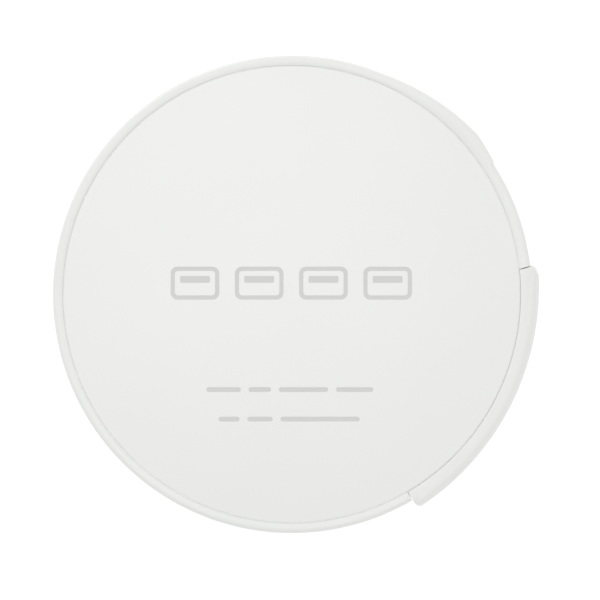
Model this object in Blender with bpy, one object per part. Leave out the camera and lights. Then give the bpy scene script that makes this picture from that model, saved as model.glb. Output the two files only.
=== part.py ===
"""A round puck-shaped USB hub whose short captive lead winds round its waist.

Metres, +Z up. The origin is the centre of the underside of the anti-slip pad.
Angles are in degrees, counter-clockwise from +X, seen from above.
"""

import math

import bmesh
import bpy

MM = 0.001

# Driving dimensions, in millimetres and degrees.
RIM_RADIUS = 32.0
RIM_FILLET = 0.55
PANEL_RADIUS = 30.65
RECESS_RADIUS = 30.8
CASE_WALL = 1.2
FACE_GAP = 0.05
FIT_GAP = 0.3
OVERLAP = 0.4
BEYOND_RIM = 40.0

PAD_RADIUS = 28.0
PAD_TOP = 0.8
BASE_BOTTOM = PAD_TOP + FACE_GAP
BASE_TOP = 2.6
CHANNEL_TOP = 6.8
FRAME_TOP = 8.0
PCB_BOTTOM = 8.6
PCB_TOP = 9.6
PLATE_BOTTOM = 15.8
PLATE_TOP = 17.0
RIM_TOP = 18.2

SPOOL_RADIUS = 27.9
LEAD_RADIUS = 1.8
LEAD_ROUTE_RADIUS = 29.9
LEAD_HEIGHT = 4.7
LEAD_END = 288.0
LEAD_END_GAP = 0.8

BAY_START = 300.1
BAY_END = 393.0
BAY_RADIUS = 25.1
BAY_WALL_START = BAY_START - 2.3
BAY_WALL_END = 35.5
BRIDGE_START = 367.1
BRIDGE_RADIUS = 32.2
BAND_DROP = 0.25

OVERMOLD_START = 300.5
OVERMOLD_SIDE_END = 366.4
OVERMOLD_FRONT_REACH = 32.0
OVERMOLD_ARC_RADIUS = 35.22
OVERMOLD_ARC_CENTRE = (-2.05, 1.0)
LIP_INNER_RADIUS = 31.0
OVERMOLD_TOP_UNDER_PLATE = PLATE_BOTTOM - 0.25
PLUG_ANGLE = 19.0
PLUG_FRONT = -6.8
PLUG_SHELL_LENGTH = 12.0
PLUG_SHELL_WIDTH = 12.0
PLUG_SHELL_THICKNESS = 4.5
PLUG_SHELL_OUTER = 31.0
PLUG_SHELL_DROP = 0.8
PLUG_INSULATOR_THICKNESS = 1.9
SHEET_METAL = 0.3
PIVOT_RADIUS = 32.6

SWELL_START = 33.2
SWELL_PEAK = 40.5
SWELL_END = 67.0
SWELL_START_RADIUS = 32.39
SWELL_PEAK_RADIUS = 32.87
BOOT_START = 33.6
BOOT_ROOT_END = 46.0
BOOT_END = 71.5
SWELL_ROOT_RADIUS = RIM_RADIUS - 0.9
BOOT_INNER_RADIUS = 28.2

PORT_ANGLES = (90.0, 150.0, 210.0, 270.0)
PORT_WIDTH = 13.2
PORT_HEIGHT = 5.7
PORT_FRONT = 31.1
PORT_LENGTH = 14.0
TONGUE_WIDTH = 11.1
TONGUE_THICKNESS = 1.9
TONGUE_LENGTH = 8.8
TONGUE_ROOT_DEPTH = 3.6
TONGUE_RISE = 0.9

SCREW_PLACES = ((120.0, 22.5), (180.0, 22.5), (240.0, 22.5), (0.0, 17.0))
SCREW_RADIUS = 1.0
SCREW_HEAD_RADIUS = 2.0
SCREW_TIP = 13.4

SCREW_HEAD_TOP = 2.2
SCREW_POINT = 0.8
COLUMN_RADIUS = 3.0
POST_RADIUS = 2.4
BOSS_RADIUS = 2.3

BALLAST_RADIUS = 19.0
BALLAST_TOP = 4.6

LIGHT_GUIDE_PLACE = (-1.7, -6.5)
LIGHT_GUIDE_RADIUS = 1.2
LEAD_ENTRY_ANGLE = 41.0
LEAD_HOLE_RADIUS = 2.5
LEAD_HOLE_PLACE = 22.6
LEAD_ENTRY_SIZE = (6.0, 4.2, 3.8)
LEAD_HEADER_SIZE = (2.6, 9.0, 5.0)
LEAD_HEADER_RADIUS = 14.4
LEAD_CONNECTOR_SIZE = (3.2, 8.4, 4.6)
LEAD_CONNECTOR_RADIUS = 17.5
# (radius, height) of the lead's tail, from the boot up to its connector on the board.
LEAD_TAIL_ROUTE = (
    (27.8, 4.7),
    (26.2, 4.7),
    (24.6, 5.1),
    (23.3, 6.2),
    (22.7, 8.0),
    (22.3, 9.8),
    (21.5, 11.3),
    (20.4, 12.0),
)

# (name, size, place) of the flat parts soldered to the board.
BOARD_CHIPS = (
    ("hub_controller", (7.0, 7.0, 1.0), (3.0, 1.0)),
    ("power_switch_1", (3.0, 1.7, 1.1), (-6.5, 5.5)),
    ("power_switch_2", (3.0, 1.7, 1.1), (-6.5, 0.5)),
    ("esd_array", (3.0, 1.7, 1.1), (10.0, 4.0)),
)
CRYSTAL_SIZE = (3.2, 2.5, 0.8)
CRYSTAL_PLACE = (3.0, 8.5)
CAPACITOR_RADIUS = 2.5
CAPACITOR_HEIGHT = 5.4
CAPACITOR_PLACES = ((8.0, -10.5), (1.5, -13.0))
LED_SIZE = (1.6, 1.6, 0.7)


def clear_scene():
    for old in list(bpy.data.objects):
        bpy.data.objects.remove(old, do_unlink=True)


def make_material(name, color, roughness, metallic=0.0):
    material = bpy.data.materials.new(name)
    material.use_nodes = True
    shader = material.node_tree.nodes["Principled BSDF"]
    shader.inputs["Base Color"].default_value = (*color, 1.0)
    shader.inputs["Roughness"].default_value = roughness
    shader.inputs["Metallic"].default_value = metallic
    return material


def polar(radius, angle):
    turn = math.radians(angle)
    return (radius * math.cos(turn), radius * math.sin(turn))


def arc(radius, start, end, step=3.0):
    count = max(1, round(abs(end - start) / step))
    return [polar(radius, start + (end - start) * i / count) for i in range(count + 1)]


def link(name, mesh, material=None):
    piece = bpy.data.objects.new(name, mesh)
    bpy.context.scene.collection.objects.link(piece)
    if material:
        mesh.materials.append(material)
    return piece


def mesh_from(shape, name):
    """A mesh whose faces point out, whichever way round its outline was given."""
    if shape.calc_volume(signed=True) < 0:
        bmesh.ops.reverse_faces(shape, faces=shape.faces)
    mesh = bpy.data.meshes.new(name)
    shape.to_mesh(mesh)
    shape.free()
    return mesh


def prism(name, outline, low, high, material=None):
    """An upright solid of one outline, given as (x, y) points in millimetres."""
    shape = bmesh.new()
    ring = [shape.verts.new((x * MM, y * MM, low * MM)) for x, y in outline]
    shape.faces.new(ring)
    lid = [shape.verts.new((x * MM, y * MM, high * MM)) for x, y in outline]
    shape.faces.new(reversed(lid))
    for i in range(len(ring)):
        shape.faces.new((ring[i], ring[i - 1], lid[i - 1], lid[i]))
    return link(name, mesh_from(shape, name), material)


def turned(name, profile, material=None, segments=120, place=(0.0, 0.0), phase=0.0):
    """A solid of revolution round a vertical axis; the profile starts and ends on the axis."""
    shape = bmesh.new()
    rings = []
    for radius, height in profile:
        if radius == 0:
            rings.append([shape.verts.new((place[0] * MM, place[1] * MM, height * MM))])
            continue
        ring = []
        for i in range(segments):
            x, y = polar(radius, 360.0 * (i + phase) / segments)
            ring.append(shape.verts.new(((x + place[0]) * MM, (y + place[1]) * MM, height * MM)))
        rings.append(ring)
    for lower, upper in zip(rings, rings[1:]):
        for i in range(segments):
            j = (i + 1) % segments
            corners = [lower[i % len(lower)], lower[j % len(lower)], upper[j % len(upper)], upper[i % len(upper)]]
            shape.faces.new(list(dict.fromkeys(corners)))
    return smooth(link(name, mesh_from(shape, name), material))


def disc(name, radius, low, high, material=None, segments=120, place=(0.0, 0.0)):
    return turned(name, [(0, low), (radius, low), (radius, high), (0, high)], material, segments, place)


def smooth(piece):
    piece.data.shade_smooth()
    piece.data.set_sharp_from_angle(angle=math.radians(35))
    return piece


def box(name, size, centre, material=None, angle=0.0):
    """A box of (x, y, z) millimetres; centre and size are in a frame turned by angle about the origin."""
    shape = bmesh.new()
    bmesh.ops.create_cube(shape, size=1.0)
    turn = math.radians(angle)
    for v in shape.verts:
        x = v.co.x * size[0] + centre[0]
        y = v.co.y * size[1] + centre[1]
        z = v.co.z * size[2] + centre[2]
        v.co.x = (x * math.cos(turn) - y * math.sin(turn)) * MM
        v.co.y = (x * math.sin(turn) + y * math.cos(turn)) * MM
        v.co.z = z * MM
    return link(name, mesh_from(shape, name), material)


def combine(piece, tool, operation="DIFFERENCE"):
    """Adds a Boolean whose operand stays in the file as a hidden guide."""
    tool.hide_render = True
    tool.display_type = "WIRE"
    modifier = piece.modifiers.new(tool.name, "BOOLEAN")
    modifier.operation = operation
    modifier.solver = "EXACT"
    modifier.object = tool
    return piece


def sector(inner, outer, start, end):
    return arc(outer, start, end) + arc(inner, end, start)


def stepped_disc(radius, bay_radius, start, end):
    """A disc of one radius from start to end, and of a smaller one round the plug bay."""
    return arc(radius, start, end) + arc(bay_radius, end, start + 360)


def fillet(radius, top, size, steps=3):
    """Points of a quarter round on an outer upper edge, from the side up to the top."""
    turns = [math.pi / 2 * i / steps for i in range(steps + 1)]
    return [(radius - size + size * math.cos(t), top - size + size * math.sin(t)) for t in turns]


def screw_points():
    return [polar(radius, angle) for angle, radius in SCREW_PLACES]


def cut_screw_holes(piece, radius, low, high, head_depth=0.0):
    """Holes for the four case screws, with a counterbore for each head where it is asked for."""
    profile = [(0, low), (radius, low), (radius, high), (0, high)]
    if head_depth:
        wide = SCREW_HEAD_RADIUS + FIT_GAP
        profile[1:2] = [(wide, low), (wide, head_depth), (radius, head_depth)]
    for i, place in enumerate(screw_points(), 1):
        combine(piece, turned(f"cut_{piece.name}_screw_{i}", profile, None, 16, place, 0.3))


def overmold_outer(start, end):
    """The plug's outer face: a flatter arc than the rim, so it stands proud at both ends."""
    cx, cy = OVERMOLD_ARC_CENTRE
    points = []
    for x, y in arc(1.0, start, end, 1.5):
        along = x * cx + y * cy
        reach = along + math.sqrt(along**2 + OVERMOLD_ARC_RADIUS**2 - cx**2 - cy**2)
        points.append((reach * x, reach * y))
    return points


def swell_radius(angle):
    """Outer radius where the case swells out over the lead's root, and then eases back to the rim."""
    if angle <= SWELL_PEAK:
        share = (angle - SWELL_START) / (SWELL_PEAK - SWELL_START)
        return SWELL_START_RADIUS + (SWELL_PEAK_RADIUS - SWELL_START_RADIUS) * share
    share = min(1.0, (angle - SWELL_PEAK) / (SWELL_END - SWELL_PEAK))
    return SWELL_PEAK_RADIUS + (RIM_RADIUS - SWELL_PEAK_RADIUS) * share


def swell_edge(start, end, step=2.4):
    count = round((end - start) / step)
    angles = [start + (end - start) * i / count for i in range(count + 1)]
    return [polar(swell_radius(angle), angle) for angle in angles]


def add_swell(piece, low, high):
    """Joins the swelling to a round piece of the case, between two heights."""
    outline = swell_edge(SWELL_START, SWELL_END) + arc(SWELL_ROOT_RADIUS, SWELL_END, SWELL_START)
    return combine(piece, prism(f"add_{piece.name}_swell", outline, low, high), "UNION")


def anti_slip_pad(rubber):
    disc("anti_slip_pad", PAD_RADIUS, 0.0, PAD_TOP, rubber)


def bottom_shell(plastic):
    profile = [(0, BASE_BOTTOM), (RIM_RADIUS - RIM_FILLET, BASE_BOTTOM)]
    profile += [(RIM_RADIUS, BASE_BOTTOM + RIM_FILLET), (RIM_RADIUS, BASE_TOP), (0, BASE_TOP)]
    shell = turned("bottom_shell", profile, plastic)
    outline = stepped_disc(SPOOL_RADIUS, BAY_RADIUS, BAY_END - 360, BAY_START)
    spool = prism("add_spool", outline, BASE_TOP - OVERLAP, CHANNEL_TOP - FACE_GAP)
    combine(shell, spool, "UNION")
    wall = CASE_WALL
    inner = stepped_disc(SPOOL_RADIUS - wall, BAY_RADIUS - wall, BAY_END - 358, BAY_START - 1.5)
    combine(shell, prism("cut_spool", inner, BASE_TOP - 0.1, CHANNEL_TOP + 1))
    entry = (BOOT_INNER_RADIUS - 1.5, 0, LEAD_HEIGHT)
    combine(shell, box("cut_spool_entry", LEAD_ENTRY_SIZE, entry, None, LEAD_ENTRY_ANGLE))
    for i, place in enumerate(screw_points(), 1):
        column = disc(f"add_column_{i}", COLUMN_RADIUS, BASE_TOP - OVERLAP, CHANNEL_TOP - FACE_GAP, None, 20, place)
        combine(shell, column, "UNION")
    cut_screw_holes(shell, SCREW_RADIUS + FIT_GAP, 0.0, CHANNEL_TOP + 1, SCREW_HEAD_TOP + 0.2)


def ballast_plate(steel):
    plate = disc("ballast_plate", BALLAST_RADIUS, BASE_TOP + FACE_GAP, BALLAST_TOP, steel, 60)
    place = screw_points()[3]
    hole = disc("cut_ballast_column", COLUMN_RADIUS + 0.4, BASE_TOP - 1, BALLAST_TOP + 1, None, 20, place)
    combine(plate, hole)


def mid_frame(plastic):
    frame = disc("mid_frame", RIM_RADIUS, CHANNEL_TOP, FRAME_TOP, plastic)
    bay = sector(BAY_RADIUS, BEYOND_RIM, BAY_START, BAY_END)
    combine(frame, prism("cut_frame_bay", bay, CHANNEL_TOP - 1, FRAME_TOP + 1))
    add_swell(frame, CHANNEL_TOP, FRAME_TOP)
    combine(frame, lead_hole("cut_frame_lead", CHANNEL_TOP - 1, FRAME_TOP + 1))
    for i, place in enumerate(screw_points(), 1):
        post = disc(f"add_post_{i}", POST_RADIUS, FRAME_TOP - OVERLAP, PCB_BOTTOM - FACE_GAP, None, 20, place)
        combine(frame, post, "UNION")
    cut_screw_holes(frame, SCREW_RADIUS + FIT_GAP, CHANNEL_TOP - 1, PCB_BOTTOM + 1)


def lead_hole(name, low, high):
    """A cutter for the hole that the lead's tail rises through."""
    return disc(name, LEAD_HOLE_RADIUS, low, high, None, 20, polar(LEAD_HOLE_PLACE, LEAD_ENTRY_ANGLE))


def case_inside(gap):
    """Outline of the space inside the case, narrower where the plug docks."""
    radius = RIM_RADIUS - CASE_WALL - gap
    return stepped_disc(radius, BAY_RADIUS - CASE_WALL - gap, BAY_WALL_END + gap, BAY_WALL_START - gap)


def circuit_board(laminate):
    board = prism("pcb", case_inside(0.4), PCB_BOTTOM, PCB_TOP, laminate)
    cut_screw_holes(board, SCREW_RADIUS + FIT_GAP, PCB_BOTTOM - 1, PCB_TOP + 1)
    combine(board, lead_hole("cut_board_lead", PCB_BOTTOM - 1, PCB_TOP + 1))


def top_shell(plastic):
    low = FRAME_TOP + FACE_GAP
    profile = [(0, low), (RIM_RADIUS, low)] + fillet(RIM_RADIUS, RIM_TOP, RIM_FILLET) + [(0, RIM_TOP)]
    shell = turned("top_shell", profile, plastic)
    band = sector(SWELL_ROOT_RADIUS, BRIDGE_RADIUS, BRIDGE_START - 362, SWELL_START + 0.2)
    combine(shell, prism("add_bridge_band", band, PLATE_BOTTOM - 1, RIM_TOP - BAND_DROP), "UNION")
    combine(shell, disc("cut_panel_recess", RECESS_RADIUS, PLATE_TOP, RIM_TOP + 1))
    combine(shell, prism("cut_inside", case_inside(0.0), low - 1, PLATE_BOTTOM))
    bay = sector(BAY_RADIUS, BEYOND_RIM, BAY_START, BAY_END)
    combine(shell, prism("cut_bay", bay, low - 1, PLATE_BOTTOM - 0.05))
    lip = sector(RECESS_RADIUS - 0.05, BEYOND_RIM, BAY_START, BRIDGE_START)
    combine(shell, prism("cut_lip", lip, PLATE_BOTTOM - 1, RIM_TOP + 1))
    add_swell(shell, low, RIM_TOP)
    for i, angle in enumerate(PORT_ANGLES, 1):
        size = (12.0, PORT_WIDTH + 0.4, PORT_HEIGHT + 0.3)
        middle = (RIM_RADIUS + 2, 0, PCB_TOP + FACE_GAP + PORT_HEIGHT / 2)
        combine(shell, box(f"cut_port_{i}", size, middle, None, angle))
    for i, place in enumerate(screw_points(), 1):
        low, high = PCB_TOP + FACE_GAP, PLATE_BOTTOM + OVERLAP
        combine(shell, disc(f"add_screw_boss_{i}", BOSS_RADIUS, low, high, None, 20, place), "UNION")
    cut_screw_holes(shell, SCREW_RADIUS + FIT_GAP / 2, FRAME_TOP - 1, SCREW_TIP + 0.5)
    hole = LIGHT_GUIDE_RADIUS + FIT_GAP
    combine(shell, disc("cut_light_guide", hole, PLATE_BOTTOM - 1, PLATE_TOP + 1, None, 16, LIGHT_GUIDE_PLACE))


def top_panel(plastic, film):
    disc("panel_adhesive", PANEL_RADIUS - 1.5, PLATE_TOP + FACE_GAP, PLATE_TOP + 0.2, film)
    disc("top_panel", PANEL_RADIUS, PLATE_TOP + 0.25, RIM_TOP, plastic)


def usb_port(number, angle, metal, plastic):
    low = PCB_TOP + FACE_GAP
    middle = (PORT_FRONT - PORT_LENGTH / 2, 0, low + PORT_HEIGHT / 2)
    shell = box(f"usb_port_shell_{number}", (PORT_LENGTH, PORT_WIDTH, PORT_HEIGHT), middle, metal, angle)
    size = (PORT_LENGTH, PORT_WIDTH - 2 * SHEET_METAL, PORT_HEIGHT - 2 * SHEET_METAL)
    hollow = (middle[0] + SHEET_METAL, 0, middle[2])
    combine(shell, box(f"cut_port_hollow_{number}", size, hollow, None, angle))
    back = PORT_FRONT - PORT_LENGTH + SHEET_METAL + 0.1
    depth = TONGUE_ROOT_DEPTH
    size = (depth, PORT_WIDTH - 2 * SHEET_METAL - 0.2, PORT_HEIGHT - 2 * SHEET_METAL - 0.2)
    tongue = box(f"usb_port_tongue_{number}", size, (back + depth / 2, 0, middle[2]), plastic, angle)
    size = (TONGUE_LENGTH + 0.5, TONGUE_WIDTH, TONGUE_THICKNESS)
    reach = (back + depth + TONGUE_LENGTH / 2 - 0.25, 0, middle[2] + TONGUE_RISE)
    combine(tongue, box(f"add_tongue_{number}", size, reach, None, angle), "UNION")


def board_parts(chip, metal, laminate, clear):
    seat = PCB_TOP + FACE_GAP
    for name, size, (x, y) in BOARD_CHIPS:
        box(name, size, (x, y, seat + size[2] / 2), chip)
    box("crystal", CRYSTAL_SIZE, (*CRYSTAL_PLACE, seat + CRYSTAL_SIZE[2] / 2), metal)
    for i, place in enumerate(CAPACITOR_PLACES, 1):
        disc(f"capacitor_{i}", CAPACITOR_RADIUS, seat, seat + CAPACITOR_HEIGHT, metal, 24, place)
    box("status_led", LED_SIZE, (*LIGHT_GUIDE_PLACE, seat + LED_SIZE[2] / 2), laminate)
    low = seat + LED_SIZE[2] + FACE_GAP
    disc("light_guide", LIGHT_GUIDE_RADIUS, low, PLATE_TOP - 0.1, clear, 16, LIGHT_GUIDE_PLACE)


def lead_entry(plastic, jacket):
    seat = PCB_TOP + FACE_GAP
    place = (LEAD_HEADER_RADIUS, 0, seat + LEAD_HEADER_SIZE[2] / 2)
    box("lead_header", LEAD_HEADER_SIZE, place, plastic, LEAD_ENTRY_ANGLE)
    place = (LEAD_CONNECTOR_RADIUS, 0, seat + 0.1 + LEAD_CONNECTOR_SIZE[2] / 2)
    box("lead_connector", LEAD_CONNECTOR_SIZE, place, plastic, LEAD_ENTRY_ANGLE)
    route = [(*polar(radius, LEAD_ENTRY_ANGLE), height) for radius, height in LEAD_TAIL_ROUTE]
    tube("lead_tail", route, LEAD_RADIUS - 0.1, jacket)


def lead_boot(jacket):
    """The lead's root, under the case's swelling, and the boot that tapers along the channel."""
    low = BASE_TOP + FACE_GAP
    high = CHANNEL_TOP - FACE_GAP
    root = swell_edge(BOOT_START, BOOT_ROOT_END) + arc(BOOT_INNER_RADIUS, BOOT_ROOT_END, BOOT_START)
    boot = prism("lead_boot", root, low, high, jacket)
    slope = swell_edge(BOOT_ROOT_END - 2, BOOT_END) + arc(BOOT_INNER_RADIUS + 0.1, BOOT_END, BOOT_ROOT_END - 2)
    return combine(boot, prism("add_boot_taper", slope, low + 0.2, high - 0.25), "UNION")


def tube(name, route, radius, material):
    """A closed tube through points in millimetres."""
    curve = bpy.data.curves.new(name, "CURVE")
    curve.dimensions = "3D"
    curve.bevel_depth = radius * MM
    curve.bevel_resolution = 2
    curve.use_fill_caps = True
    spline = curve.splines.new("POLY")
    spline.points.add(len(route) - 1)
    for point, (x, y, z) in zip(spline.points, route):
        point.co = (x * MM, y * MM, z * MM, 1.0)
    return link(name, curve).data.materials.append(material)


def wound_lead(name, start, end, material):
    points = arc(LEAD_ROUTE_RADIUS, start, end, 3.0)
    tube(name, [(x, y, LEAD_HEIGHT) for x, y in points], LEAD_RADIUS, material)


def plug_frame(along, across):
    """A point in the plug's own frame: along its insertion, and outward from the hub's axis."""
    turn = math.radians(PLUG_ANGLE)
    x = across * math.cos(turn) - along * math.sin(turn)
    y = across * math.sin(turn) + along * math.cos(turn)
    return (x, y)


def plug_overmold(plastic):
    outer = overmold_outer(OVERMOLD_START, OVERMOLD_SIDE_END)
    inner_radius = BAY_RADIUS + FIT_GAP
    front_angle = PLUG_ANGLE + 360 + math.degrees(math.asin(PLUG_FRONT / inner_radius))
    outline = outer + [plug_frame(PLUG_FRONT, OVERMOLD_FRONT_REACH)]
    outline += arc(inner_radius, front_angle, OVERMOLD_START)
    mold = prism("plug_overmold", outline, BASE_TOP + FACE_GAP, RIM_TOP, plastic)
    step = arc(LIP_INNER_RADIUS, BAY_START - 6, BAY_END)
    combine(mold, prism("cut_overmold_step", step + [(0.0, 0.0)], OVERMOLD_TOP_UNDER_PLATE, RIM_TOP + 1))
    return mold


def plug_contact_end(metal, plastic):
    middle = (BASE_TOP + RIM_TOP) / 2 - PLUG_SHELL_DROP
    across = PLUG_SHELL_OUTER - PLUG_SHELL_THICKNESS / 2
    along = PLUG_FRONT + 0.15 + PLUG_SHELL_LENGTH / 2
    size = (PLUG_SHELL_THICKNESS, PLUG_SHELL_LENGTH, PLUG_SHELL_WIDTH)
    shell = box("plug_shell", size, (across, along, middle), metal, PLUG_ANGLE)
    hollow = (size[0] - 2 * SHEET_METAL, size[1] + 2, size[2] - 2 * SHEET_METAL)
    combine(shell, box("cut_plug_shell", hollow, (across, along, middle), None, PLUG_ANGLE))
    size = (PLUG_INSULATOR_THICKNESS, PLUG_SHELL_LENGTH - 0.6, hollow[2] - 0.2)
    place = (across + hollow[0] / 2 - 0.1 - size[0] / 2, along - 0.2, middle)
    insulator = box("plug_insulator", size, place, plastic, PLUG_ANGLE)
    return [shell, insulator]


def hang_on_pivot(pieces):
    """Parents the plug's pieces to an empty on the hinge axis."""
    x, y = polar(PIVOT_RADIUS, OVERMOLD_START)
    pivot = bpy.data.objects.new("plug_pivot", None)
    pivot.location = (x * MM, y * MM, 0.0)
    bpy.context.scene.collection.objects.link(pivot)
    for piece in pieces:
        piece.parent = pivot
        piece.location = (-x * MM, -y * MM, 0.0)


def case_screws(steel):
    for i, place in enumerate(screw_points(), 1):
        low = BASE_BOTTOM + FACE_GAP
        profile = [(0, low), (SCREW_HEAD_RADIUS, low)]
        profile += [(SCREW_HEAD_RADIUS, SCREW_HEAD_TOP), (SCREW_RADIUS, SCREW_HEAD_TOP)]
        profile += [(SCREW_RADIUS, SCREW_TIP - SCREW_POINT), (0, SCREW_TIP)]
        turned(f"case_screw_{i}", profile, steel, 16, place)


def build():
    clear_scene()
    white = make_material("white_plastic", (0.84, 0.85, 0.83), 0.45)
    panel = make_material("white_panel", (0.86, 0.87, 0.85), 0.35)
    jacket = make_material("white_jacket", (0.83, 0.84, 0.82), 0.5)
    rubber = make_material("grey_rubber", (0.32, 0.32, 0.33), 0.8)
    steel = make_material("zinc_steel", (0.6, 0.6, 0.58), 0.35, 1.0)
    metal = make_material("nickel_shell", (0.72, 0.72, 0.7), 0.28, 1.0)
    black = make_material("black_insulator", (0.02, 0.02, 0.02), 0.5)
    chip = make_material("chip_resin", (0.03, 0.03, 0.03), 0.6)
    laminate = make_material("board_laminate", (0.03, 0.2, 0.08), 0.45)
    film = make_material("adhesive_film", (0.75, 0.72, 0.62), 0.6)
    clear = make_material("clear_guide", (0.9, 0.9, 0.9), 0.2)

    anti_slip_pad(rubber)
    bottom_shell(white)
    ballast_plate(steel)
    mid_frame(white)
    circuit_board(laminate)
    top_shell(white)
    top_panel(panel, film)
    for number, angle in enumerate(PORT_ANGLES, 1):
        usb_port(number, angle, metal, black)
    board_parts(chip, metal, laminate, clear)
    lead_entry(black, jacket)
    lead_boot(jacket)
    wound_lead("lead", BOOT_END + LEAD_END_GAP, LEAD_END, jacket)
    wound_lead("lead_neck", LEAD_END + LEAD_END_GAP, OVERMOLD_START - LEAD_END_GAP, jacket)
    case_screws(steel)
    hang_on_pivot([plug_overmold(white)] + plug_contact_end(metal, black))


build()
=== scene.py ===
"""The looks of a round USB hub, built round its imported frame.

Lengths are millimetres until a piece is finished, and metres from then on.
"""

import math

import bmesh
import bpy
from mathutils import Matrix, Vector


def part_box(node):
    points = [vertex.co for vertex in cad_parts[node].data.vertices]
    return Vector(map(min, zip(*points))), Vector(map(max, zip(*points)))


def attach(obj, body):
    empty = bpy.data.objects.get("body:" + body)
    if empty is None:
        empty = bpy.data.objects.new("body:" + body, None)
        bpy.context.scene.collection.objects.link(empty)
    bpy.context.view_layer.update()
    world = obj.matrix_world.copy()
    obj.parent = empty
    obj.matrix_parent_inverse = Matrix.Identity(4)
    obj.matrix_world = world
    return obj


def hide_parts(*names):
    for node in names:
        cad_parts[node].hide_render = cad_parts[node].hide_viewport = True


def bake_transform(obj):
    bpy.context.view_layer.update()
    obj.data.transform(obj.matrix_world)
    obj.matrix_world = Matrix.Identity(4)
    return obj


MM = 0.001
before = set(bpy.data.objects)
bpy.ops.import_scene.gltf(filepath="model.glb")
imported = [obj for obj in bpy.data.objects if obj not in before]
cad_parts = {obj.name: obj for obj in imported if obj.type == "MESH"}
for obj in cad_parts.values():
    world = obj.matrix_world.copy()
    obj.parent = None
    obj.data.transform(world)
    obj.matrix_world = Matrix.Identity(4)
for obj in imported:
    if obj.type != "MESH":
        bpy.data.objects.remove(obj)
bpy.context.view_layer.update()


def top_of(node):
    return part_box(node)[1].z / MM


def bottom_of(node):
    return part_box(node)[0].z / MM


PANEL_INSET = 0.09
FILM_GAP = 0.05

# Levels and radii that the frame gives.
RIM_TOP = top_of("top_shell")
RIM_BOTTOM = bottom_of("top_shell")
PLATE_TOP = bottom_of("panel_adhesive") - FILM_GAP
BASE_BOTTOM = bottom_of("bottom_shell")
SPOOL_TOP = top_of("bottom_shell")
CHANNEL_TOP = bottom_of("mid_frame")
PAD_TOP = top_of("anti_slip_pad")
PAD_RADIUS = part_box("anti_slip_pad")[1].y / MM
RIM_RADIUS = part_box("bottom_shell")[1].y / MM
PANEL_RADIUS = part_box("top_panel")[1].y / MM - PANEL_INSET
LEAD_HEIGHT = (top_of("lead") + bottom_of("lead")) / 2
LEAD_RADIUS = (top_of("lead") - bottom_of("lead")) / 2
PORT_BOTTOM = bottom_of("usb_port_shell_1")
PORT_HEIGHT = top_of("usb_port_shell_1") - PORT_BOTTOM
PORT_WIDTH = 2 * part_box("usb_port_shell_1")[1].x / MM
PORT_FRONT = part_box("usb_port_shell_1")[1].y / MM
PORT_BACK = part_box("usb_port_shell_1")[0].y / MM
TONGUE_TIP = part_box("usb_port_tongue_1")[1].y / MM
PLUG_MIDDLE = (top_of("plug_shell") + bottom_of("plug_shell")) / 2
PLUG_WIDTH = top_of("plug_shell") - bottom_of("plug_shell")

# The rest of the shape, as the design has it. Angles are in degrees, counter-clockwise from +X.
RIM_FILLET = 0.55
RECESS_RADIUS = PANEL_RADIUS + 0.11
RECESS_LIP = 0.06
PANEL_SINK = 0.05
GROOVE_DEPTH = 0.07
BASE_TOP = 2.6
FRAME_TOP = 8.0
CASE_WALL = 1.2
PLATE_BOTTOM = 15.8
SPOOL_RADIUS = 27.9
PAD_GROOVE_PITCH, PAD_GROOVE_HALF_WIDTH, PAD_GROOVE_DEPTH = 4, 0.35, 0.22
LEAD_ROUTE_RADIUS = 29.9

# The plug's bay, and the stretch of rim over its contact end, which stands a little proud.
BAY_START, BAY_END = 300.3, 393.0
BAY_RADIUS = 25.1
BAY_WALL_START, BAY_WALL_END = BAY_START - 2.3, 35.5
PROUD_START, PROUD_RADIUS = 5.0, 32.2
PAST_RIM = 40.0

OVERMOLD_START, SHOULDER_START = 300.5, 364.4
OVERMOLD_ARC_RADIUS = 35.22
OVERMOLD_ARC_CENTRE = (-2.05, 1.0)
OVERMOLD_FILLET = 1.2
OVERMOLD_STEPS = 40
LIP_INNER_RADIUS = RECESS_RADIUS + 0.02
LIP_GAP = 0.05
HEEL_TURN, HEEL_RADIUS = 1.3, 32.15
PLUG_ANGLE = 19.0
PLUG_FRONT = -6.8
PLUG_LENGTH = 12.0
PLUG_THICKNESS = 4.5
PLUG_OUTER = 31.0
PLUG_BLOCK_THICKNESS = 1.9
PLUG_CONTACT_LENGTHS = (7.4, 6.4, 6.4, 7.4)
WINDOW_SIZE, WINDOW_PLACE = (2.0, 2.3), 2.95
WINDOW_START, WINDOW_END = 5.1, 7.3
SHEET_METAL = 0.3

# The case's swelling over the lead's root, and the boot in the channel below it.
SWELL_START, SWELL_PEAK, SWELL_END = 33.2, 40.5, 67.0
SWELL_START_RADIUS, SWELL_PEAK_RADIUS = 32.39, 32.87
BOOT_START, BOOT_ROOT_END, BOOT_END = 33.6, 46.0, 71.5
BOOT_INNER_RADIUS = 28.2
BOOT_RADIUS, BOOT_TAPER, BOOT_GROOVE = 2.02, 0.14, 0.34
RIB_PITCH, RIB_WIDTH, RIBS_START, RIBS_END = 3.0, 1.9, 1.0, 20.0
NECK_START = 288.3

PORT_ANGLES = (90.0, 150.0, 210.0, 270.0)
FLARE_DEPTH, FLARE_REACH = 1.35, 0.6
TONGUE_ROOT_DEPTH = 3.6
TONGUE_WIDTH, TONGUE_THICKNESS, TONGUE_RISE = 11.1, 1.9, 0.9
SPRING_PLACE, SPRING_HALF_WIDTH, SPRING_LENGTH = 3.2, 0.9, 6.0
SPRING_DIP, SPRING_SHEET = 0.45, 0.2
CONTACT_PLACES = (-3.5, -1.0, 1.0, 3.5)
CONTACT_HALF_WIDTH, CONTACT_SHEET = 0.5, 0.16

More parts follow.
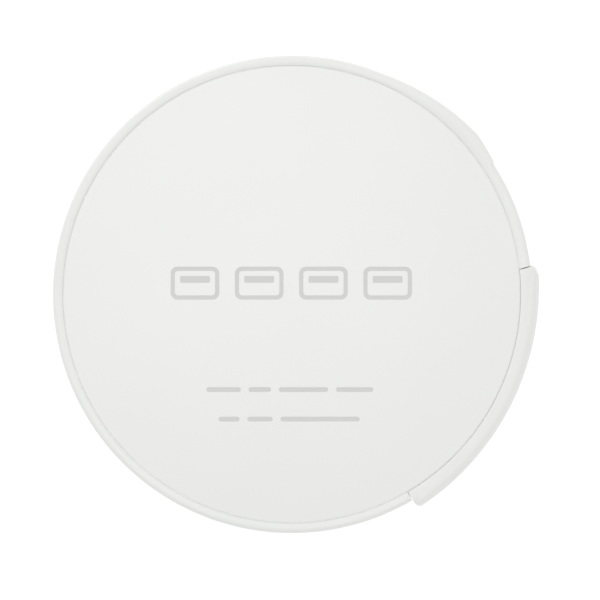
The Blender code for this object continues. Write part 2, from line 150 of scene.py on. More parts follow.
FINE_STEP = 1.5
FINE_SEGMENTS = 240
MERGE_DISTANCE = 0.0002
CREASE = 35.0
END_EASE = 0.75
PRINT_THICKNESS = 0.03


# ---------------------------------------------------------------- mesh tools


def polar(radius, angle):
    turn = math.radians(angle)
    return (radius * math.cos(turn), radius * math.sin(turn))


def arc(radius, start, end, step=FINE_STEP):
    count = max(1, round(abs(end - start) / step))
    return [polar(radius, start + (end - start) * i / count) for i in range(count + 1)]


def corner(centre, radius, start, end, steps=6):
    """A rounded corner of an outline, about its own centre."""
    points = arc(radius, start, end, abs(end - start) / steps)
    return [(x + centre[0], y + centre[1]) for x, y in points]


def rounded_rectangle(width, height, radius, steps=6):
    x, y = width / 2 - radius, height / 2 - radius
    places = (((x, y), 0), ((-x, y), 90), ((-x, -y), 180), ((x, -y), 270))
    return [p for centre, start in places for p in corner(centre, radius, start, start + 90, steps)]


def as_object(name, shape):
    """A mesh object whose faces point out."""
    if shape.calc_volume(signed=True) < 0:
        bmesh.ops.reverse_faces(shape, faces=shape.faces)
    mesh = bpy.data.meshes.new(name)
    shape.to_mesh(mesh)
    shape.free()
    piece = bpy.data.objects.new(name, mesh)
    bpy.context.scene.collection.objects.link(piece)
    return piece


def lofted_shape(sections):
    """A closed body through outlines of equal count, each a list of (x, y, z)."""
    shape = bmesh.new()
    rings = [[shape.verts.new(point) for point in section] for section in sections]
    shape.faces.new(rings[0])
    shape.faces.new(reversed(rings[-1]))
    for lower, upper in zip(rings, rings[1:]):
        for i in range(len(lower)):
            shape.faces.new((lower[i], lower[i - 1], upper[i - 1], upper[i]))
    return shape


def prism_shape(outline, low, high):
    return lofted_shape([[(x, y, z) for x, y in outline] for z in (low, high)])


def prism(name, outline, low, high):
    return as_object(name, prism_shape(outline, low, high))


def turned(name, profile, segments=FINE_SEGMENTS):
    """A solid of revolution round a vertical axis; the profile starts and ends on the axis."""
    shape = bmesh.new()
    rings = []
    for radius, height in profile:
        count = 1 if radius == 0 else segments
        ring = []
        for i in range(count):
            ring.append(shape.verts.new((*polar(radius, 360.0 * i / segments), height)))
        rings.append(ring)
    for lower, upper in zip(rings, rings[1:]):
        for i in range(segments):
            j = (i + 1) % segments
            near, far = i % len(lower), j % len(lower)
            ends = [lower[near], lower[far], upper[j % len(upper)], upper[i % len(upper)]]
            shape.faces.new(list(dict.fromkeys(ends)))
    return as_object(name, shape)


def inset_line(points, amount, ends=0):
    """An open outline moved inward, square to itself, and less far over that many points at each end.

    The first point moves straight to the axis, which keeps an end face flat.
    """
    result = []
    last = len(points) - 1
    for i, (x, y) in enumerate(points):
        near = max(0, ends - min(i, last - i)) / max(1, ends)
        shift = amount * (1 - END_EASE * near)
        ahead, behind = points[min(i + 1, last)], points[max(i - 1, 0)]
        along = Vector((ahead[0] - behind[0], ahead[1] - behind[1])).normalized()
        inward = Vector((-along.y, along.x)) if i else -Vector((x, y)).normalized()
        result.append((x + inward.x * shift, y + inward.y * shift))
    return result


def soft_levels(low, high, low_size, high_size, steps=6):
    """(height, inset) pairs that round the lower and upper edge of an upright face."""
    turns = [math.pi / 2 * i / steps for i in range(steps + 1)]
    foot = [(low + low_size * (1 - math.cos(t)), low_size * (1 - math.sin(t))) for t in turns]
    head = [(high - high_size * (1 - math.sin(t)), high_size * (1 - math.cos(t))) for t in turns]
    return foot + head


def quarter(radius, height, size, start, steps=5):
    """Profile points of a quarter round; start is 0 for an upper outer edge and 270 for a lower one."""
    centre = (radius - size, height - size if start == 0 else height + size)
    return corner(centre, size, start, start + 90, steps)


def combine(piece, tool, operation="DIFFERENCE"):
    modifier = piece.modifiers.new(tool.name, "BOOLEAN")
    modifier.operation = operation
    modifier.solver = "EXACT"
    modifier.object = tool
    tool.hide_render = True
    return piece


def settle(piece, edge=0.0, edge_steps=2, crease=CREASE):
    """Applies the Booleans, softens sharp edges, merges coincident points and scales to metres."""
    tools = [m.object for m in piece.modifiers if m.type == "BOOLEAN"]
    if edge:
        bevel = piece.modifiers.new("soft_edges", "BEVEL")
        bevel.width = edge
        bevel.segments = edge_steps
        bevel.limit_method = "ANGLE"
        bevel.angle_limit = math.radians(crease)
        bevel.use_clamp_overlap = True
    graph = bpy.context.evaluated_depsgraph_get()
    mesh = bpy.data.meshes.new_from_object(piece.evaluated_get(graph))
    piece.modifiers.clear()
    piece.data = mesh
    mesh.name = piece.name
    for tool in tools:
        bpy.data.objects.remove(tool, do_unlink=True)
    shape = bmesh.new()
    shape.from_mesh(mesh)
    bmesh.ops.remove_doubles(shape, verts=shape.verts, dist=MERGE_DISTANCE)
    bmesh.ops.dissolve_degenerate(shape, edges=shape.edges, dist=MERGE_DISTANCE)
    shape.to_mesh(mesh)
    shape.free()
    mesh.transform(Matrix.Scale(MM, 4))
    mesh.shade_smooth()
    mesh.set_sharp_from_angle(angle=math.radians(crease))
    return piece


def dress(piece, material, slot, body, *nodes):
    """Gives a finished piece its material and its place in the frame."""
    piece.data.materials.clear()
    piece.data.materials.append(material)
    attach(piece, body)
    if nodes:
        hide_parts(*nodes)
    return piece


def moved(piece, matrix):
    piece.data.transform(matrix)
    if matrix.determinant() < 0:
        piece.data.flip_normals()
    return piece


def sideways(angle, height=0.0):
    """Takes a shape drawn in (across, up) and extruded outward to a side of the hub."""
    turn = math.radians(angle)
    across = Vector((-math.sin(turn), math.cos(turn), 0))
    outward = Vector((math.cos(turn), math.sin(turn), 0))
    columns = (across, Vector((0, 0, 1)), outward)
    matrix = Matrix.Identity(4)
    for i, column in enumerate(columns):
        for k in range(3):
            matrix[k][i] = column[k]
    matrix[2][3] = height
    return matrix


def joined(name, pieces):
    """One object from several finished meshes."""
    shape = bmesh.new()
    for piece in pieces:
        shape.from_mesh(piece.data)
        bpy.data.objects.remove(piece, do_unlink=True)
    mesh = bpy.data.meshes.new(name)
    shape.to_mesh(mesh)
    shape.free()
    mesh.shade_smooth()
    mesh.set_sharp_from_angle(angle=math.radians(CREASE))
    result = bpy.data.objects.new(name, mesh)
    bpy.context.scene.collection.objects.link(result)
    return result


# ---------------------------------------------------------------- materials


def node_of(tree, kind, **values):
    node = tree.nodes.new(kind)
    for key, value in values.items():
        if key in node.inputs:
            node.inputs[key].default_value = value
        else:
            setattr(node, key, value)
    return node


def surface(name, color, second, roughness, spread, grain, depth, patch=60.0, metallic=0.0):
    """A moulded, plated or pressed surface: two close tints in patches, uneven gloss and a fine grain."""
    material = bpy.data.materials.new(name)
    material.use_nodes = True
    tree = material.node_tree
    shader = tree.nodes["Principled BSDF"]
    shader.inputs["Metallic"].default_value = metallic
    place = tree.nodes.new("ShaderNodeTexCoord")

    patches = node_of(tree, "ShaderNodeTexNoise", Scale=patch, Detail=3.0, Roughness=0.5)
    tint = tree.nodes.new("ShaderNodeValToRGB")
    tint.color_ramp.elements[0].color = (*second, 1)
    tint.color_ramp.elements[1].color = (*color, 1)
    tint.color_ramp.elements[0].position = 0.35
    tint.color_ramp.elements[1].position = 0.65
    tree.links.new(place.outputs["Object"], patches.inputs["Vector"])
    tree.links.new(patches.outputs["Fac"], tint.inputs["Fac"])
    tree.links.new(tint.outputs["Color"], shader.inputs["Base Color"])

    gloss = node_of(tree, "ShaderNodeTexNoise", Scale=patch * 6, Detail=4.0)
    level = tree.nodes.new("ShaderNodeMapRange")
    level.inputs["To Min"].default_value = roughness - spread
    level.inputs["To Max"].default_value = roughness + spread
    tree.links.new(place.outputs["Object"], gloss.inputs["Vector"])
    tree.links.new(gloss.outputs["Fac"], level.inputs["Value"])
    tree.links.new(level.outputs["Result"], shader.inputs["Roughness"])

    pores = node_of(tree, "ShaderNodeTexNoise", Scale=grain, Detail=2.0, Roughness=0.6)
    bump = node_of(tree, "ShaderNodeBump", Distance=depth, Strength=1.0)
    tree.links.new(place.outputs["Object"], pores.inputs["Vector"])
    tree.links.new(pores.outputs["Fac"], bump.inputs["Height"])
    tree.links.new(bump.outputs["Normal"], shader.inputs["Normal"])
    return material


def make_materials():
    """Each row: name, two tints, roughness and its spread, grain, bump depth in metres, patches, metallic."""
    rows = {
        "shell": ("moulded_white", (0.83, 0.84, 0.815), (0.815, 0.825, 0.80), 0.42, 0.05, 5200.0, 6e-6),
        "panel": ("panel_white", (0.845, 0.855, 0.83), (0.838, 0.848, 0.823), 0.34, 0.03, 7000.0, 2.5e-6),
        "jacket": ("soft_white", (0.80, 0.81, 0.785), (0.78, 0.79, 0.765), 0.5, 0.05, 3800.0, 8e-6),
        "print": ("grey_print", (0.645, 0.65, 0.64), (0.63, 0.635, 0.625), 0.45, 0.05, 6000.0, 3e-6),
        "rubber": ("grey_rubber", (0.115, 0.115, 0.12), (0.09, 0.09, 0.094), 0.72, 0.08, 2600.0, 2e-5),
        "nickel": ("nickel_plate", (0.7, 0.69, 0.67), (0.67, 0.66, 0.645), 0.22, 0.04, 3e3, 2e-6, 120.0, 1.0),
        "gold": ("gold_plate", (0.83, 0.58, 0.22), (0.75, 0.5, 0.17), 0.26, 0.05, 4000.0, 2e-6, 400.0, 1.0),
        "black": ("black_insulator", (0.035, 0.035, 0.037), (0.026, 0.026, 0.027), 0.48, 0.06, 4000.0, 5e-6),
        "steel": ("zinc_steel", (0.55, 0.55, 0.53), (0.46, 0.46, 0.45), 0.36, 0.08, 2500.0, 4e-6, 200.0, 1.0),
        "chip": ("chip_resin", (0.03, 0.03, 0.031), (0.02, 0.02, 0.02), 0.6, 0.06, 5000.0, 8e-6),
        "board": ("board_laminate", (0.02, 0.16, 0.06), (0.015, 0.11, 0.045), 0.35, 0.06, 1800.0, 6e-6),
        "film": ("adhesive_film", (0.7, 0.67, 0.55), (0.62, 0.6, 0.5), 0.6, 0.06, 2000.0, 8e-6),
        "clear": ("clear_guide", (0.85, 0.87, 0.88), (0.8, 0.82, 0.84), 0.12, 0.03, 2000.0, 2e-6),
    }
    return {paint: surface(*row) for paint, row in rows.items()}


# ---------------------------------------------------------------- outlines shared by several pieces


def sector(inner, outer, start, end):
    return arc(outer, start, end) + arc(inner, end, start)


def stepped_disc(radius, bay_radius, start, end):
    return arc(radius, start, end) + arc(bay_radius, end, start + 360)


def overmold_outer(start, end):
    cx, cy = OVERMOLD_ARC_CENTRE
    points = []
    for x, y in arc(1.0, start, end):
        along = x * cx + y * cy
        reach = along + math.sqrt(along**2 + OVERMOLD_ARC_RADIUS**2 - cx**2 - cy**2)
        points.append((reach * x, reach * y))
    return points


def swell_radius(angle):
    """Outer radius of the case: proud beside the bay, then swelling over the lead's root and easing back."""
    if PROUD_START <= angle < SWELL_START:
        return PROUD_RADIUS
    if not SWELL_START <= angle <= SWELL_END:
        return RIM_RADIUS
    if angle <= SWELL_PEAK:
        share = (angle - SWELL_START) / (SWELL_PEAK - SWELL_START)
        return SWELL_START_RADIUS + (SWELL_PEAK_RADIUS - SWELL_START_RADIUS) * share
    share = (angle - SWELL_PEAK) / (SWELL_END - SWELL_PEAK)
    return SWELL_PEAK_RADIUS + (RIM_RADIUS - SWELL_PEAK_RADIUS) * share


def swell_edge(start, end, step=0.6):
    count = round((end - start) / step)
    angles = [start + (end - start) * i / count for i in range(count + 1)]
    return [polar(swell_radius(angle), angle) for angle in angles]


def swollen(name, profile):
    """A turned piece of the case whose outer points follow the swelling."""
    angles = [360.0 * i / FINE_SEGMENTS for i in range(FINE_SEGMENTS)]
    angles = sorted(angles + [SWELL_START - 0.04, SWELL_START, SWELL_PEAK])
    shape = bmesh.new()
    rings = []
    for radius, height in profile:
        if radius == 0:
            rings.append([shape.verts.new((0, 0, height))])
            continue
        ring = []
        for angle in angles:
            grow = swell_radius(angle) - RIM_RADIUS
            ring.append(shape.verts.new((*polar(radius + grow, angle), height)))
        rings.append(ring)
    for lower, upper in zip(rings, rings[1:]):
        for i in range(len(angles)):
            j = (i + 1) % len(angles)
            near, far = i % len(lower), j % len(lower)
            ends = [lower[near], lower[far], upper[j % len(upper)], upper[i % len(upper)]]
            shape.faces.new(list(dict.fromkeys(ends)))
    return as_object(name, shape)


def front_angle(radius, gap=0.0):
    """Where a circle meets the plug's front plane, or a plane that far in front of it."""
    return PLUG_ANGLE + 360 + math.degrees(math.asin((PLUG_FRONT + gap) / radius))


def plug_frame(along, across):
    turn = math.radians(PLUG_ANGLE)
    return (
        across * math.cos(turn) - along * math.sin(turn),
        across * math.sin(turn) + along * math.cos(turn),
    )


# ---------------------------------------------------------------- case


def mouth(name, angle, height, width, tall, depth, flare):
    """A cutter for an opening in the side, with flared lips."""
    sections = []
    for reach, grow in ((-depth, 0.0), (-FLARE_DEPTH, 0.0), (FLARE_REACH, flare * 2)):
        outline = rounded_rectangle(width + grow, tall + grow, 0.5 + grow / 2, 4)
        sections.append([(x, y, RIM_RADIUS + reach) for x, y in outline])
    return moved(as_object(name, lofted_shape(sections)), sideways(angle, height))


def top_shell(material):
    low = RIM_BOTTOM
    profile = [(0, low), (RIM_RADIUS - 0.12, low), (RIM_RADIUS, low + 0.12)]
    profile += quarter(RIM_RADIUS, RIM_TOP, RIM_FILLET, 0, 6) + [(0, RIM_TOP)]
    shell = swollen("case_top", profile)
    near, far = RECESS_RADIUS + RECESS_LIP * 0.3, RECESS_RADIUS + RECESS_LIP * 1.3
    recess = [(0, PLATE_TOP), (RECESS_RADIUS, PLATE_TOP), (RECESS_RADIUS, RIM_TOP - RECESS_LIP)]
    recess += [(near, RIM_TOP - RECESS_LIP * 0.3), (far, RIM_TOP + RECESS_LIP * 0.3)]
    recess += [(far, RIM_TOP + 1), (0, RIM_TOP + 1)]
    combine(shell, turned("cut_recess", recess))
    inside = stepped_disc(RIM_RADIUS - CASE_WALL, BAY_RADIUS - CASE_WALL, BAY_WALL_END, BAY_WALL_START)
    combine(shell, prism("cut_inside", inside, low - 1, PLATE_BOTTOM))
    bay = sector(BAY_RADIUS, PAST_RIM, BAY_START, BAY_END)
    combine(shell, prism("cut_bay", bay, low - 1, PLATE_BOTTOM - 0.05))
    # The lip's cut starts just past the bay's, so that the two cutters share no plane.
    inner = RECESS_RADIUS - 0.05
    lip_start = BAY_START + 0.02
    lip_cut = arc(PAST_RIM, lip_start, front_angle(PAST_RIM, LIP_GAP))
    lip_cut += arc(inner, front_angle(inner, LIP_GAP), lip_start)
    combine(shell, prism("cut_lip", lip_cut, PLATE_BOTTOM - 1, RIM_TOP + 1))
    middle = PORT_BOTTOM + PORT_HEIGHT / 2
    for i, angle in enumerate(PORT_ANGLES, 1):
        opening = mouth(f"cut_port_{i}", angle, middle, PORT_WIDTH + 0.3, PORT_HEIGHT + 0.24, 6.0, 0.35)
        combine(shell, opening)
    return dress(settle(shell), material, "white_plastic", "hub", "top_shell")


def mid_frame(material):
    high = FRAME_TOP
    profile = [(0, CHANNEL_TOP), (RIM_RADIUS - 0.25, CHANNEL_TOP), (RIM_RADIUS, CHANNEL_TOP + 0.25)]
    profile += [(RIM_RADIUS, high - 0.1), (RIM_RADIUS - 0.1, high), (0, high)]
    ring = swollen("case_middle", profile)
    bay = sector(BAY_RADIUS, PAST_RIM, BAY_START, BAY_END)
    combine(ring, prism("cut_frame_bay", bay, CHANNEL_TOP - 1, high + 1))
    return dress(settle(ring), material, "white_plastic", "hub", "mid_frame")


def bottom_shell(material):
    profile = [(0, BASE_BOTTOM)] + quarter(RIM_RADIUS, BASE_BOTTOM, RIM_FILLET, 270)
    profile += quarter(RIM_RADIUS, BASE_TOP, 0.2, 0, 3) + [(0, BASE_TOP)]
    shell = turned("case_bottom", profile)
    spool = stepped_disc(SPOOL_RADIUS, BAY_RADIUS, BAY_END - 360, BAY_START)
    combine(shell, prism("add_spool", spool, BASE_TOP - 0.4, SPOOL_TOP), "UNION")
    inner = stepped_disc(SPOOL_RADIUS - CASE_WALL, BAY_RADIUS - CASE_WALL, BAY_END - 358, BAY_START - 1.5)
    combine(shell, prism("cut_spool", inner, BASE_TOP - 0.1, CHANNEL_TOP + 1))
    return dress(settle(shell), material, "white_plastic", "hub", "bottom_shell")


def top_panel(material):
    high = RIM_TOP - PANEL_SINK
    ledge = high - GROOVE_DEPTH
    profile = [(0, bottom_of("top_panel")), (RECESS_RADIUS - 0.01, bottom_of("top_panel"))]
    profile += [(RECESS_RADIUS - 0.01, ledge), (PANEL_RADIUS, ledge)]
    profile += quarter(PANEL_RADIUS, high, 0.08, 0, 3) + [(0, high)]
    return dress(settle(turned("panel", profile)), material, "white_panel", "hub", "top_panel")


def anti_slip_pad(material):
    """The pad, with shallow ring grooves pressed into its underside."""
    profile = [(0, 0.0)]
    for radius in range(PAD_GROOVE_PITCH, 28, PAD_GROOVE_PITCH):
        profile += [(radius - PAD_GROOVE_HALF_WIDTH, 0.0), (radius, PAD_GROOVE_DEPTH)]
        profile.append((radius + PAD_GROOVE_HALF_WIDTH, 0.0))
    profile += quarter(PAD_RADIUS, 0.0, 0.3, 270) + [(PAD_RADIUS, PAD_TOP), (0, PAD_TOP)]
    return dress(settle(turned("foot_pad", profile)), material, "rubber_grey", "hub", "anti_slip_pad")


# ---------------------------------------------------------------- sockets


def socket(number, angle, metal, plastic, gold):
    """One USB-A socket: its pressed shell with springs, the tongue and four contacts."""
    middle = PORT_BOTTOM + PORT_HEIGHT / 2
    turn = sideways(angle, middle)
    outline = rounded_rectangle(PORT_WIDTH, PORT_HEIGHT, 0.7)
    shell = moved(prism("socket", outline, PORT_BACK, PORT_FRONT), turn)
    inner_width, inner_height = PORT_WIDTH - 2 * SHEET_METAL, PORT_HEIGHT - 2 * SHEET_METAL
    inner = rounded_rectangle(inner_width, inner_height, 0.45)
    wide = rounded_rectangle(PORT_WIDTH - 0.12, PORT_HEIGHT - 0.12, 0.66)
    sections = [[(x, y, out) for x, y in inner] for out in (PORT_BACK + SHEET_METAL, PORT_FRONT - 0.4)]
    sections.append([(x, y, PORT_FRONT + 0.01) for x, y in wide])
    combine(shell, moved(as_object("socket_inside", lofted_shape(sections)), turn))
    settle(shell)
    leaves = [spring(turn, across, side) for across in (-SPRING_PLACE, SPRING_PLACE) for side in (-1, 1)]
    shell = joined(f"socket_shell_{number}", [shell] + leaves)
    dress(shell, metal, "nickel_shell", "hub", f"usb_port_shell_{number}")

    back = PORT_BACK + SHEET_METAL + 0.1
    block = rounded_rectangle(inner_width - 0.2, inner_height - 0.2, 0.3, 3)
    body = settle(moved(prism("block", block, back, back + TONGUE_ROOT_DEPTH), turn))
    flat = rounded_rectangle(TONGUE_WIDTH, TONGUE_THICKNESS, 0.15, 3)
    full = [(x, y + TONGUE_RISE) for x, y in flat]
    nose = [(x * 0.97, (y - TONGUE_RISE) * 0.7 + TONGUE_RISE) for x, y in full]
    sections = [[(x, y, out) for x, y in full] for out in (back + 3.5, TONGUE_TIP - 0.7)]
    sections.append([(x, y, TONGUE_TIP) for x, y in nose])
    blade = settle(moved(as_object("blade", lofted_shape(sections)), turn))
    tongue = joined(f"socket_tongue_{number}", [body, blade])
    dress(tongue, plastic, "black_insulator", "hub", f"usb_port_tongue_{number}")

    strips = [contact(turn, across, -0.1, back + 3.2, TONGUE_TIP - 0.9) for across in CONTACT_PLACES]
    contacts = joined(f"socket_contacts_{number}", strips)
    dress(contacts, gold, "nickel_shell", "hub")


def strip_section(across, half_width, level, sheet, out):
    left, right = across - half_width, across + half_width
    return [(left, level, out), (right, level, out), (right, level + sheet, out), (left, level + sheet, out)]


def spring(turn, across, side):
    """A leaf pressed inward from the shell's wide wall."""
    wall = side * (PORT_HEIGHT / 2 - SHEET_METAL)
    dip = -side * SPRING_DIP
    sections = []
    for share, bend in ((0.0, 0.0), (0.35, 0.6), (0.6, 1.0), (0.8, 0.75), (1.0, 0.15)):
        out = PORT_FRONT - 1.2 - SPRING_LENGTH * (1 - share)
        level = wall + dip * bend
        sections.append(strip_section(across, SPRING_HALF_WIDTH, level, side * SPRING_SHEET, out))
    return settle(moved(as_object("leaf", lofted_shape(sections)), turn))


def contact(turn, across, level, start, end):
    """A bowed contact strip, one millimetre wide."""
    sections = []
    for share, rise in ((0.0, 0.0), (0.45, 0.1), (0.75, 0.22), (0.9, 0.16), (1.0, 0.0)):
        out = start + (end - start) * share
        sections.append(strip_section(across, CONTACT_HALF_WIDTH, level - rise, CONTACT_SHEET, out))
    return settle(moved(as_object("strip", lofted_shape(sections)), turn))


# ---------------------------------------------------------------- lead


def swept(name, start, end, radius_at, around=32, step=0.75):
    """A round tube along the channel whose radius may change with the angle."""
    count = max(2, round(abs(end - start) / step))
    sections = []
    for i in range(count + 1):
        angle = start + (end - start) * i / count
        radius = radius_at(angle)
        ring = []
        for k in range(around):
            across, up = polar(radius, 360.0 * k / around)
            x, y = polar(LEAD_ROUTE_RADIUS + across, angle)
            ring.append((x, y, LEAD_HEIGHT + up))
        sections.append(ring)
    return as_object(name, lofted_shape(sections))


def lead(material):
    wound = settle(swept("wound_lead", BOOT_END - 1.5, NECK_START, lambda angle: LEAD_RADIUS))
    dress(wound, material, "white_jacket", "hub", "lead")
    tube = swept("lead_neck_tube", NECK_START - 0.4, OVERMOLD_START - 0.2, lambda angle: LEAD_RADIUS - 0.01)
    neck = settle(tube)
    neck.data.materials.append(material)
    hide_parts("lead_neck")
    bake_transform(neck)


def lead_boot(material):
    """The lead's root, under the case's swelling, and the ribbed boot that tapers along the channel."""
    outer = swell_edge(BOOT_START, BOOT_ROOT_END)
    inner = arc(BOOT_INNER_RADIUS, BOOT_ROOT_END, BOOT_START)
    sections = []
    for height, inset in soft_levels(BASE_TOP + 0.08, CHANNEL_TOP - 0.06, 0.4, 0.4, 4):
        sections.append([(x, y, height) for x, y in inset_line(outer, inset) + inner])
    root = settle(as_object("root", lofted_shape(sections)))

    def boot_radius(angle):
        along = angle - BOOT_ROOT_END
        grooved = along % RIB_PITCH > RIB_WIDTH and RIBS_START < along < RIBS_END
        groove = BOOT_GROOVE if grooved else 0.0
        return BOOT_RADIUS - BOOT_TAPER * along / (BOOT_END - BOOT_ROOT_END) - groove

    rings = settle(swept("boot_rings", BOOT_ROOT_END - 1, BOOT_END, boot_radius, 32, 0.2))
    return dress(joined("lead_root", [root, rings]), material, "white_jacket", "hub", "lead_boot")


# ---------------------------------------------------------------- plug


def shoulder(start, peak, end, steps=6):
    """A soft corner from one point of an outline to another, drawn towards the peak between them."""
    points = []
    for i in range(1, steps + 1):
        t = i / steps
        near, middle, far = (1 - t) ** 2, 2 * t * (1 - t), t * t
        points.append(tuple(near * a + middle * b + far * c for a, b, c in zip(start, peak, end)))
    return points


def plug_overmold(material):
    """The plug's grip: a deep body under the top plate and a lip that stands in for the rim."""
    body_radius = BAY_RADIUS + 0.3
    body_front = front_angle(body_radius)
    lip_front = front_angle(LIP_INNER_RADIUS)
    body = arc(body_radius, body_front, OVERMOLD_START, (body_front - OVERMOLD_START) / OVERMOLD_STEPS)
    lip = arc(LIP_INNER_RADIUS, lip_front, OVERMOLD_START, (lip_front - OVERMOLD_START) / OVERMOLD_STEPS)
    after_heel = overmold_outer(OVERMOLD_START + HEEL_TURN, SHOULDER_START)
    heel_peak = overmold_outer(OVERMOLD_START, OVERMOLD_START + HEEL_TURN)[0]
    outer = [polar(HEEL_RADIUS, OVERMOLD_START)]
    outer += shoulder(outer[0], heel_peak, after_heel[0]) + after_heel[1:]
    outer += shoulder(outer[-1], plug_frame(PLUG_FRONT, 32.25), plug_frame(PLUG_FRONT, 31.5))
    shelf = PLATE_BOTTOM - 0.25
    sections = []
    for height, inset in soft_levels(BASE_TOP + 0.05, RIM_TOP, 0.5, OVERMOLD_FILLET):
        if sections and sections[-1][0][2] < shelf <= height:
            sections.append([(x, y, shelf) for x, y in outer + body])
            sections.append([(x, y, shelf) for x, y in outer + lip])
        inner = body if height < shelf else lip
        sections.append([(x, y, height) for x, y in inset_line(outer, inset, 9) + inner])
    mold = as_object("plug_grip", lofted_shape(sections))
    return dress(settle(mold), material, "white_plastic", "plug", "plug_overmold")


def plug_turn():
    """Takes a shape drawn in (across, up) and extruded along the plug to its docked place."""
    turn = math.radians(PLUG_ANGLE)
    outward = Vector((math.cos(turn), math.sin(turn), 0))
    along = Vector((-math.sin(turn), math.cos(turn), 0))
    matrix = Matrix.Identity(4)
    for i, column in enumerate((outward, Vector((0, 0, 1)), along)):
        for k in range(3):
            matrix[k][i] = column[k]
    origin = outward * (PLUG_OUTER - PLUG_THICKNESS / 2)
    matrix[0][3], matrix[1][3], matrix[2][3] = origin.x, origin.y, PLUG_MIDDLE
    return matrix


def plug_contact_end(metal, plastic, gold):
    turn = plug_turn()
    start = PLUG_FRONT + 0.15
    end = start + PLUG_LENGTH
    shell = prism("plug_sleeve", rounded_rectangle(PLUG_THICKNESS, PLUG_WIDTH, 0.45), start, end)
    inner = rounded_rectangle(PLUG_THICKNESS - 2 * SHEET_METAL, PLUG_WIDTH - 2 * SHEET_METAL, 0.25)
    combine(shell, prism("cut_sleeve", inner, start - 1, end + 1))
    for side in (-1, 1):
        for up in (-1, 1):
            window = rounded_rectangle(*WINDOW_SIZE, 0.1, 2)
            outline = [(x + side * PLUG_THICKNESS / 2, y + up * WINDOW_PLACE) for x, y in window]
            cutter = prism(f"cut_window_{side}_{up}", outline, start + WINDOW_START, start + WINDOW_END)
            combine(shell, cutter)
    seam = [(x + PLUG_THICKNESS / 2, y) for x, y in rounded_rectangle(0.2, 0.12, 0.02, 1)]
    combine(shell, prism("cut_seam", seam, start - 1, end + 1))
    moved(shell, turn)
    for modifier in shell.modifiers:
        moved(modifier.object, turn)
    settle(shell, 0.07, 2, 20.0)
    dress(shell, metal, "nickel_shell", "plug", "plug_shell")

    level = PLUG_THICKNESS / 2 - SHEET_METAL - 0.1 - PLUG_BLOCK_THICKNESS / 2
    flat = rounded_rectangle(PLUG_BLOCK_THICKNESS, PLUG_WIDTH - 2 * SHEET_METAL - 0.2, 0.12, 2)
    outline = [(x + level, y) for x, y in flat]
    block = moved(prism("plug_block", outline, start + 0.1, end - 0.5), turn)
    settle(block, 0.1, 2)
    dress(block, plastic, "black_insulator", "plug", "plug_insulator")

    strips = []
    for place, length in zip(CONTACT_PLACES, PLUG_CONTACT_LENGTHS):
        flat = rounded_rectangle(CONTACT_SHEET, 2 * CONTACT_HALF_WIDTH, 0.03, 1)
        outline = [(x + level - 0.92, y + place) for x, y in flat]
        strips.append(settle(moved(prism("strip", outline, end - 1.0 - length, end - 1.0), turn)))
    dress(joined("plug_contacts", strips), gold, "nickel_shell", "plug")


# ---------------------------------------------------------------- print on the panel


def slab(outline, place, level):
    return prism("mark", [(x + place[0], y + place[1]) for x, y in outline], level, level + PRINT_THICKNESS)


def ring_slab(outer, inner, place, level):
    ring = slab(outer, place, level)
    hole = prism("hole", [(x + place[0], y + place[1]) for x, y in inner], level - 1, level + 1)
    return combine(ring, hole)


def panel_print(material):
    """Plain stand-ins for the printing: a row of four socket symbols, and two rows of bars."""
    level = RIM_TOP - PANEL_SINK - PRINT_THICKNESS / 3
    marks = []
    width, height, stroke, row_width = 6.5, 4.4, 0.55, 32.3
    pitch = (row_width - width) / 3
    for i in range(4):
        place = (-0.05 + (i - 1.5) * pitch, 1.5)
        outer = rounded_rectangle(width, height, 0.9)
        inner = rounded_rectangle(width - 2 * stroke, height - 2 * stroke, 0.45)
        marks.append(settle(ring_slab(outer, inner, place, level)))
        bar = rounded_rectangle(width - 2.5, 0.9, 0.2, 3)
        marks.append(settle(slab(bar, (place[0], place[1] + 0.5), level)))
    rows = ((-12.75, -0.25, (4.6, 3.0, 6.6, 5.0), 1.05), (-16.7, -0.35, (2.8, 3.4, 10.6), 1.05))
    for y, middle, lengths, gap in rows:
        x = middle - (sum(lengths) + gap * (len(lengths) - 1)) / 2
        for length in lengths:
            bar = rounded_rectangle(length, 0.62, 0.3, 4)
            marks.append(settle(slab(bar, (x + length / 2, y), level)))
            x += length + gap
    dress(joined("panel_marks", marks), material, "white_panel", "hub")


# ---------------------------------------------------------------- nodes kept from the frame


def keep_inner_nodes(paints):
    kept = {
        "steel": ["ballast_plate", "case_screw_1", "case_screw_2", "case_screw_3", "case_screw_4"],
        "board": ["pcb"],
        "film": ["panel_adhesive"],
        "chip": ["hub_controller", "power_switch_1", "power_switch_2", "esd_array"],
        "nickel": ["crystal", "capacitor_1", "capacitor_2"],
        "clear": ["status_led", "light_guide"],
        "black": ["lead_header", "lead_connector"],
        "jacket": ["lead_tail"],
    }
    for paint, names in kept.items():
        for name in names:
            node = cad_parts[name]
            node.data.materials.clear()
            node.data.materials.append(paints[paint])


# ---------------------------------------------------------------- camera, light and floor

VIEW_WIDTH = 80.33
CAMERA_OFFSET = (1.114, -0.763)
CAMERA_DISTANCE = 900.0
SENSOR = 36.0
FLOOR_SIZE, FLOOR_GAP = 3.0, 0.0002


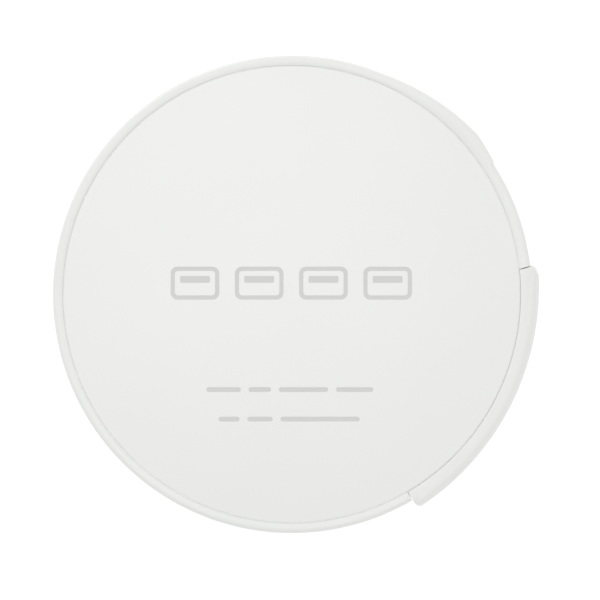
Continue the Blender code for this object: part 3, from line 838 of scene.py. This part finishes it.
def make_camera():
    data = bpy.data.cameras.new("camera")
    data.sensor_width = SENSOR
    data.lens = SENSOR * CAMERA_DISTANCE / VIEW_WIDTH
    data.clip_start = 0.01
    data.clip_end = 10
    camera = bpy.data.objects.new("camera", data)
    camera.location = (CAMERA_OFFSET[0] * MM, CAMERA_OFFSET[1] * MM, (RIM_TOP + CAMERA_DISTANCE) * MM)
    bpy.context.scene.collection.objects.link(camera)
    bpy.context.scene.camera = camera


def area_light(name, place, size, power):
    data = bpy.data.lights.new(name, "AREA")
    data.shape = "DISK"
    data.size = size
    data.energy = power
    light = bpy.data.objects.new(name, data)
    light.location = place
    light.rotation_euler = (-Vector(place)).to_track_quat("-Z", "Y").to_euler()
    bpy.context.scene.collection.objects.link(light)


def make_lights():
    area_light("key", (-0.08, 0.12, 1.14), 0.75, 2.5)
    area_light("rim", (-0.5, 1.0, 0.4), 0.5, 2.4)
    area_light("fill", (0.5, -0.2, 0.8), 0.9, 0.65)
    world = bpy.data.worlds.new("studio")
    world.use_nodes = True
    world.node_tree.nodes["Background"].inputs["Color"].default_value = (1, 1, 1, 1)
    world.node_tree.nodes["Background"].inputs["Strength"].default_value = 0.69
    bpy.context.scene.world = world
    bpy.context.scene.view_settings.view_transform = "Standard"


def make_floor():
    material = bpy.data.materials.new("pale_floor")
    material.use_nodes = True
    shader = material.node_tree.nodes["Principled BSDF"]
    shader.inputs["Base Color"].default_value = (0.6, 0.6, 0.6, 1)
    shader.inputs["Roughness"].default_value = 0.9
    shader.inputs["Emission Color"].default_value = (1, 1, 1, 1)
    shader.inputs["Emission Strength"].default_value = 0.55
    shape = bmesh.new()
    bmesh.ops.create_grid(shape, x_segments=1, y_segments=1, size=FLOOR_SIZE)
    floor = as_object("floor", shape)
    floor.location.z = -FLOOR_GAP
    floor.data.materials.append(material)


def build():
    make_camera()
    make_lights()
    make_floor()
    paints = make_materials()
    top_panel(paints["panel"])
    panel_print(paints["print"])
    top_shell(paints["shell"])
    mid_frame(paints["shell"])
    bottom_shell(paints["shell"])
    anti_slip_pad(paints["rubber"])
    for number, angle in enumerate(PORT_ANGLES, 1):
        socket(number, angle, paints["nickel"], paints["black"], paints["gold"])
    lead_boot(paints["jacket"])
    lead(paints["jacket"])
    plug_overmold(paints["shell"])
    plug_contact_end(paints["nickel"], paints["black"], paints["gold"])
    keep_inner_nodes(paints)


build()
